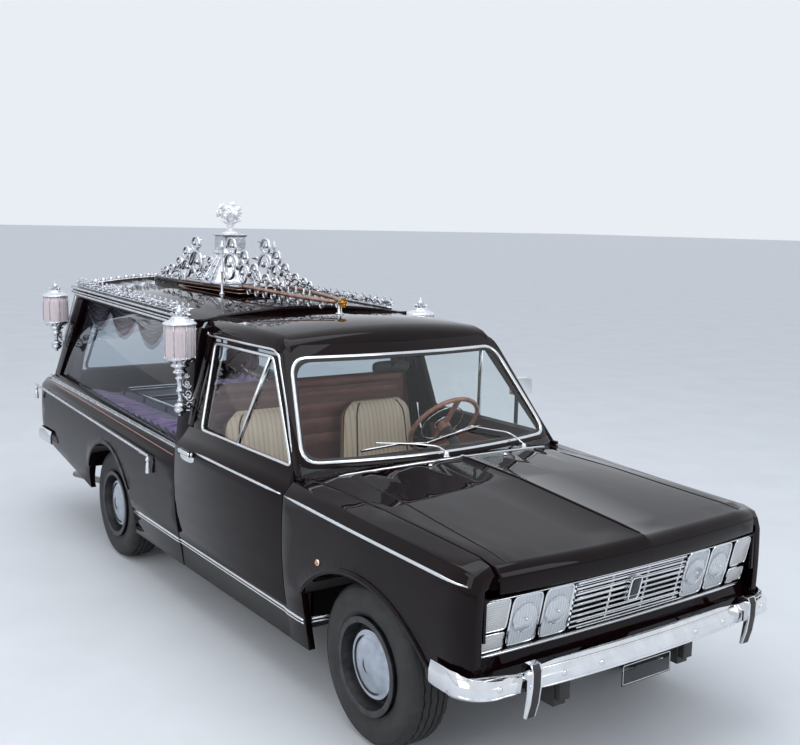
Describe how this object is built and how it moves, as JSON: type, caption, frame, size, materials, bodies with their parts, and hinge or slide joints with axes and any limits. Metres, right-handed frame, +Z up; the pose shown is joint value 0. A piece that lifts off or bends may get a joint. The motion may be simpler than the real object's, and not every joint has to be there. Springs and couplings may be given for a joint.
{
  "type": "hearse",
  "caption": "Coachbuilt hearse on a 1960s saloon base, with steered wheels, opening doors, bonnet and tailgate, glazed coffin bay and silver roof ornament.",
  "frame": {"origin": "on the ground, below the middle of the whole car", "axes": "+X forward, +Y to the car's left, +Z up"},
  "size_m": [4.7848, 1.669, 2.105],
  "materials": {
    "body_black": "gloss",
    "underside_black": "satin",
    "engine_iron": "rough",
    "exhaust_steel": "matt",
    "clear_glass": "polished",
    "lamp_glass": "ribbed",
    "chrome": "polished",
    "silver": "polished",
    "plate_black": "gloss",
    "lamp_red": "gloss",
    "maroon_padding": "satin",
    "purple_velvet": "velvet",
    "dash_black": "matt",
    "wheel_tan": "gloss",
    "cream_leather": "satin",
    "tyre": "matt",
    "wheel_steel": "satin"
  },
  "bodies": {
    "root": {"bay_glass": "clear_glass", "bay_roof": "body_black", "bay_side_left": "body_black", "bay_side_right": "body_black", "cab_roof": "body_black", "coffin_deck": "purple_velvet", "cowl": "body_black", "cresting": "silver", "dashboard": "dash_black", "deck_rails": "chrome", "engine": "engine_iron", "exhaust": "exhaust_steel", "fender_left": "body_black", "fender_right": "body_black", "front_bumper": "chrome", "front_crossmember": "underside_black", "front_plate": "plate_black", "fuel_tank": "underside_black", "grille": "chrome", "headlamps": "lamp_glass", "lanterns": "silver", "nose_panel": "body_black", "partition": "maroon_padding", "partition_glass": "clear_glass", "rear_axle": "underside_black", "rear_bumper": "chrome", "rear_frame": "body_black", "roof_ornament": "silver", "roof_scrolls": "silver", "seat_left": "cream_leather", "seat_right": "cream_leather", "tail_lamps": "lamp_red", "tassel_rails": "silver", "underbody": "underside_black", "windscreen": "clear_glass", "wipers": "chrome"},
    "bonnet": {"bonnet": "body_black"},
    "door_left": {"door_left": "body_black", "door_glass_left": "clear_glass"},
    "door_right": {"door_right": "body_black", "door_glass_right": "clear_glass"},
    "tailgate": {"tailgate": "body_black", "tailgate_glass": "clear_glass"},
    "knuckle_left": {"knuckle_left": "underside_black"},
    "knuckle_right": {"knuckle_right": "underside_black"},
    "steering_wheel": {"steering_wheel": "wheel_tan"},
    "wheel_front_left": {"tyre_front_left": "tyre", "rim_front_left": "wheel_steel"},
    "wheel_front_right": {"tyre_front_right": "tyre", "rim_front_right": "wheel_steel"},
    "wheel_rear_left": {"tyre_rear_left": "tyre", "rim_rear_left": "wheel_steel"},
    "wheel_rear_right": {"tyre_rear_right": "tyre", "rim_rear_right": "wheel_steel"}
  },
  "joints": [
    {"name": "bonnet_hinge", "type": "hinge", "parent": "root", "child": "bonnet", "pos_m": [2.3155, 0, 0.812], "axis": [0, 1, 0], "range_deg": [0, 50]},
    {"name": "door_left_hinge", "type": "hinge", "parent": "root", "child": "door_left", "pos_m": [1.0865, 0.8, 0.64], "axis": [0, 0, -1], "range_deg": [0, 65]},
    {"name": "door_right_hinge", "type": "hinge", "parent": "root", "child": "door_right", "pos_m": [1.0865, -0.8, 0.64], "axis": [0, 0, 1], "range_deg": [0, 65]},
    {"name": "tailgate_hinge", "type": "hinge", "parent": "root", "child": "tailgate", "pos_m": [-2.0055, 0, 1.428], "axis": [0, 1, 0], "range_deg": [0, 80]},
    {"name": "steer_left", "type": "hinge", "parent": "root", "child": "knuckle_left", "pos_m": [1.6475, 0.595, 0.314], "axis": [0, 0, 1], "range_deg": [-32, 32]},
    {"name": "steer_right", "type": "hinge", "parent": "root", "child": "knuckle_right", "pos_m": [1.6475, -0.595, 0.314], "axis": [0, 0, 1], "range_deg": [-32, 32]},
    {"name": "steering_wheel_turn", "type": "hinge", "parent": "root", "child": "steering_wheel", "pos_m": [0.6625, 0.37, 0.962], "axis": [-0.788, 0, 0.6157], "range_deg": [-480, 480]},
    {"name": "wheel_front_left_spin", "type": "hinge", "parent": "knuckle_left", "child": "wheel_front_left", "pos_m": [1.6475, 0.655, 0.314], "axis": [0, 1, 0], "continuous": true},
    {"name": "wheel_front_right_spin", "type": "hinge", "parent": "knuckle_right", "child": "wheel_front_right", "pos_m": [1.6475, -0.655, 0.314], "axis": [0, 1, 0], "continuous": true},
    {"name": "wheel_rear_left_spin", "type": "hinge", "parent": "root", "child": "wheel_rear_left", "pos_m": [-1.0085, 0.655, 0.314], "axis": [0, 1, 0], "continuous": true},
    {"name": "wheel_rear_right_spin", "type": "hinge", "parent": "root", "child": "wheel_rear_right", "pos_m": [-1.0085, -0.655, 0.314], "axis": [0, 1, 0], "continuous": true}
  ],
  "couplings": [
    {"joint": "steer_right", "follows": "steer_left", "ratio": 1},
    {"joint": "steering_wheel_turn", "follows": "steer_left", "ratio": 15}
  ]
}
